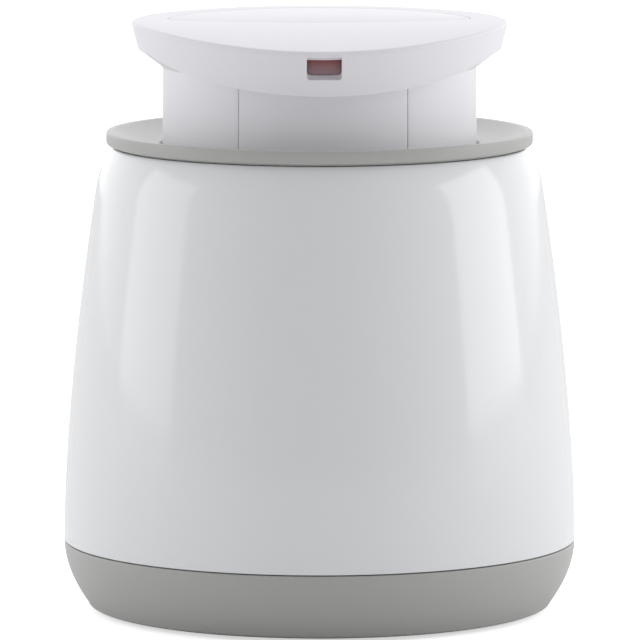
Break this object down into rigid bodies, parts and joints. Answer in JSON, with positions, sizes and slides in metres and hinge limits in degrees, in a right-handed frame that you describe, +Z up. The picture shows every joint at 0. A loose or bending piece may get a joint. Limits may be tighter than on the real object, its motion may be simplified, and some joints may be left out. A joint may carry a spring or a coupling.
{
  "type": "rotating laser pet toy",
  "caption": "Table-top automatic laser pet toy: bell-shaped white body on a grey base, grey selector ring, and a spinning neck with a wide disc head whose beam leaves a small front aperture.",
  "frame": {"origin": "middle of the footprint, on the surface it stands on", "axes": "+Z up along the spin axis; -Y is the front, where the aperture points at rest; +X is to the right seen from the front"},
  "size_m": [0.1196, 0.12, 0.1383],
  "materials": {
    "gloss_white": "glossy injection-moulded white plastic, cool tone",
    "satin_white": "satin white plastic with a very fine moulded texture",
    "soft_grey": "matt light warm grey plastic",
    "inner_plastic": "plain off-white moulded plastic, inside only",
    "foot_rubber": "dark grey non-slip rubber",
    "cell_sleeve": "plain shrink sleeve round an AA cell, no marks",
    "bright_steel": "zinc-plated or nickelled steel",
    "brass": "turned brass",
    "circuit_green": "green solder mask on glass-fibre board",
    "gear_nylon": "natural nylon or acetal, slightly waxy",
    "mirror_face": "front-silvered mirror",
    "window_tint": "smoky red-brown tinted acrylic",
    "wire_black": "PVC insulation",
    "wire_red": "PVC insulation",
    "wire_blue": "PVC insulation",
    "wire_yellow": "PVC insulation",
    "wire_grey": "PVC insulation"
  },
  "bodies": {
    "root": {"base_cover": "soft_grey", "battery_box": "inner_plastic", "battery_cell_1": "cell_sleeve", "battery_cell_2": "cell_sleeve", "battery_cell_3": "cell_sleeve", "battery_cell_4": "cell_sleeve", "battery_lead_black": "wire_black", "battery_lead_red": "wire_red", "bearing_bush": "brass", "board_screw_1": "bright_steel", "board_screw_2": "bright_steel", "body_screw_1": "bright_steel", "body_screw_2": "bright_steel", "body_screw_3": "bright_steel", "body_screw_4": "bright_steel", "body_shell": "gloss_white", "chassis_deck": "inner_plastic", "circuit_board": "circuit_green", "contact_front_left": "bright_steel", "contact_front_right": "bright_steel", "contact_rear_left": "bright_steel", "contact_rear_middle": "bright_steel", "contact_rear_right": "bright_steel", "foot_1": "foot_rubber", "foot_2": "foot_rubber", "foot_3": "foot_rubber", "foot_4": "foot_rubber", "frame_screw_1": "bright_steel", "frame_screw_2": "bright_steel", "frame_screw_3": "bright_steel", "gear_plate": "inner_plastic", "idler_axle": "bright_steel", "laser_leads": "wire_yellow", "laser_module": "brass", "motor": "bright_steel", "motor_leads": "wire_blue", "plate_screw_1": "bright_steel", "plate_screw_2": "bright_steel", "plate_screw_3": "bright_steel", "selector_leads": "wire_grey", "selector_track": "circuit_green", "top_frame": "inner_plastic"},
    "head": {"neck_rear_shell": "satin_white", "neck_front_panel": "satin_white", "neck_floor": "inner_plastic", "head_gear": "gear_nylon", "spindle_clip": "bright_steel", "head_bowl": "satin_white", "head_cover": "satin_white", "top_panel": "satin_white", "mirror": "mirror_face", "beam_window": "window_tint", "neck_screw_1": "bright_steel", "neck_screw_2": "bright_steel", "neck_screw_3": "bright_steel"},
    "idler": {"idler_gear": "gear_nylon"},
    "pinion": {"motor_pinion": "brass"},
    "selector": {"selector_ring": "soft_grey", "selector_wiper": "brass"},
    "door": {"battery_door": "soft_grey"}
  },
  "joints": [
    {"name": "head_spin", "type": "hinge", "parent": "root", "child": "head", "pos_m": [0, 0, 0.1], "axis": [0, 0, 1], "continuous": true},
    {"name": "idler_spin", "type": "hinge", "parent": "root", "child": "idler", "pos_m": [-0.0216, 0, 0.084], "axis": [0, 0, 1], "continuous": true},
    {"name": "pinion_spin", "type": "hinge", "parent": "root", "child": "pinion", "pos_m": [-0.0291, 0.01299, 0.08], "axis": [0, 0, 1], "continuous": true},
    {"name": "selector_turn", "type": "hinge", "parent": "root", "child": "selector", "pos_m": [0, 0, 0.108], "axis": [0, 0, 1], "range_deg": [0, 90]},
    {"name": "battery_door_release", "type": "slide", "parent": "root", "child": "door", "axis": [0, 0, -1], "range_m": [0, 0.03]}
  ],
  "couplings": [
    {"joint": "idler_spin", "follows": "head_spin", "ratio": -5},
    {"joint": "pinion_spin", "follows": "head_spin", "ratio": 20}
  ]
}
